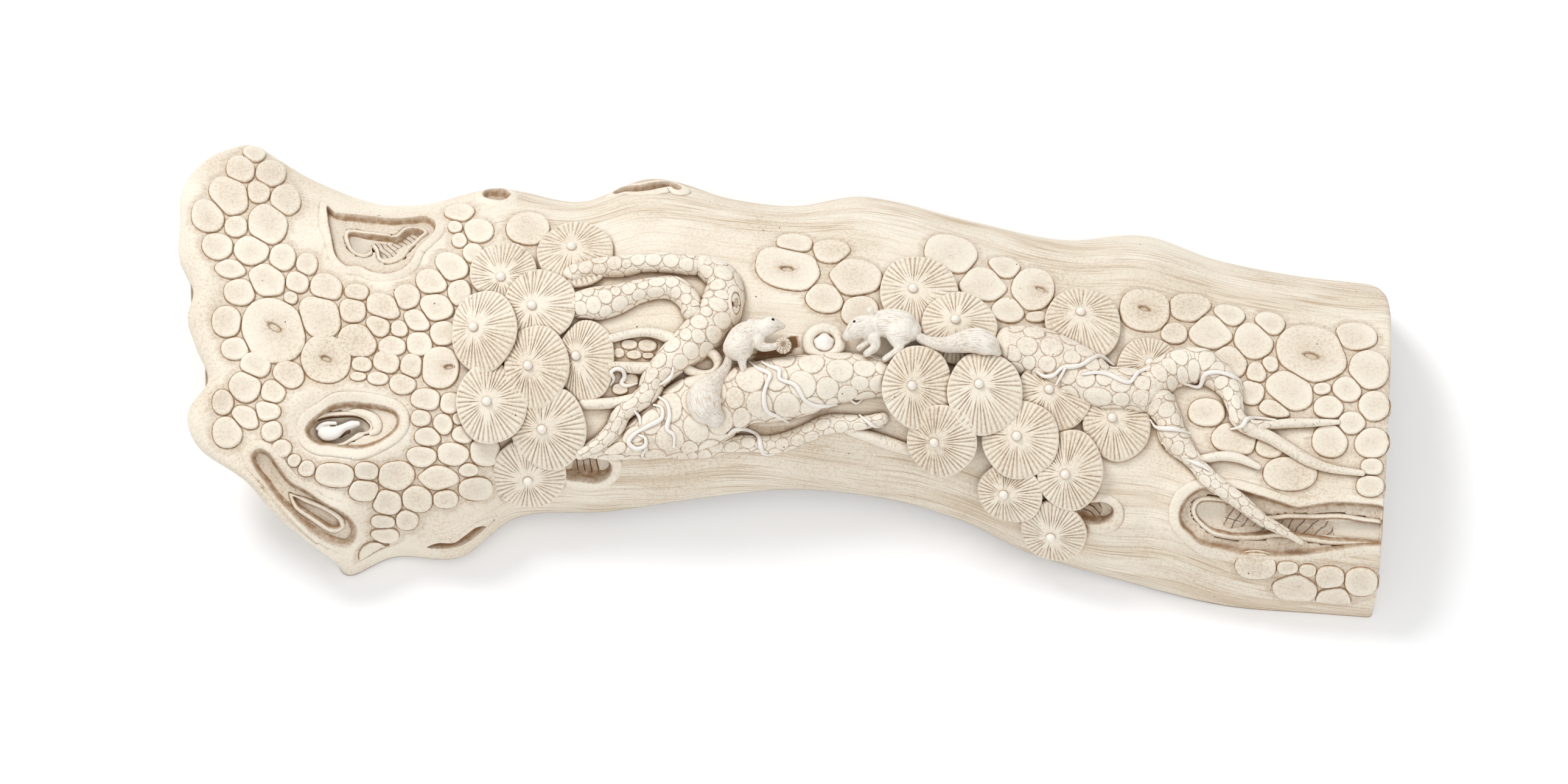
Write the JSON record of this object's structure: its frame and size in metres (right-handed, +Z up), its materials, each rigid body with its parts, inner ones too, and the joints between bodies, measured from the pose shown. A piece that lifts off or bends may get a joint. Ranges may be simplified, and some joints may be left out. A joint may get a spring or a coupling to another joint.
{
  "type": "wrist rest",
  "caption": "Vaulted half-trunk wrist rest of unglazed porcelain, open underneath, with pine branches, needle discs, squirrels and tendrils in relief.",
  "frame": {"origin": "middle of the footprint, on the desk surface", "axes": "+X along the trunk towards the sawn end, +Y away from the writer, +Z up"},
  "size_m": [0.28, 0.1156, 0.0377],
  "materials": {
    "trunk_biscuit": "Unglazed biscuit porcelain, matt, with a thin brown wash left in the recesses, and fine pinholes",
    "branch_biscuit": "Unglazed biscuit porcelain, matt, with a thin brown wash left in the recesses",
    "needle_disc_biscuit": "Unglazed biscuit porcelain, matt, with a thin brown wash left in the recesses of the pressed needle lines",
    "squirrel_biscuit": "Unglazed white porcelain, matt, with fine scratched fur and dark eyes",
    "white_porcelain": "Unglazed white porcelain, smooth and matt"
  },
  "bodies": {
    "root": {"trunk_shell": "trunk_biscuit", "crevice_strand_lower": "branch_biscuit", "crevice_strand_upper": "branch_biscuit", "elbow_branch": "branch_biscuit", "hollow_kernel": "white_porcelain", "hollow_rim": "branch_biscuit", "hollow_twig": "branch_biscuit", "lower_branch": "branch_biscuit", "lower_fork": "branch_biscuit", "main_branch": "branch_biscuit", "needle_disc_01": "needle_disc_biscuit", "needle_disc_02": "needle_disc_biscuit", "needle_disc_03": "needle_disc_biscuit", "needle_disc_04": "needle_disc_biscuit", "needle_disc_05": "needle_disc_biscuit", "needle_disc_06": "needle_disc_biscuit", "needle_disc_07": "needle_disc_biscuit", "needle_disc_08": "needle_disc_biscuit", "needle_disc_09": "needle_disc_biscuit", "needle_disc_10": "needle_disc_biscuit", "needle_disc_11": "needle_disc_biscuit", "needle_disc_12": "needle_disc_biscuit", "needle_disc_13": "needle_disc_biscuit", "needle_disc_14": "needle_disc_biscuit", "needle_disc_15": "needle_disc_biscuit", "needle_disc_16": "needle_disc_biscuit", "needle_disc_17": "needle_disc_biscuit", "needle_disc_18": "needle_disc_biscuit", "needle_disc_19": "needle_disc_biscuit", "needle_disc_20": "needle_disc_biscuit", "needle_disc_21": "needle_disc_biscuit", "needle_disc_22": "needle_disc_biscuit", "nut": "squirrel_biscuit", "right_arm_lower": "branch_biscuit", "right_arm_upper": "branch_biscuit", "right_branch": "branch_biscuit", "right_twig": "branch_biscuit", "ring_kernel": "white_porcelain", "ring_knot": "branch_biscuit", "short_twig": "branch_biscuit", "side_twig": "branch_biscuit", "squirrel_left": "squirrel_biscuit", "squirrel_left_tail": "squirrel_biscuit", "squirrel_right": "squirrel_biscuit", "squirrel_right_tail": "squirrel_biscuit", "tendril_01": "white_porcelain", "tendril_02": "white_porcelain", "tendril_03": "white_porcelain", "tendril_04": "white_porcelain", "tendril_05": "white_porcelain", "tendril_06": "white_porcelain", "tendril_07": "white_porcelain", "tendril_08": "white_porcelain", "tendril_09": "white_porcelain", "tendril_10": "white_porcelain", "tendril_11": "white_porcelain", "thin_twig": "branch_biscuit"}
  },
  "joints": []
}
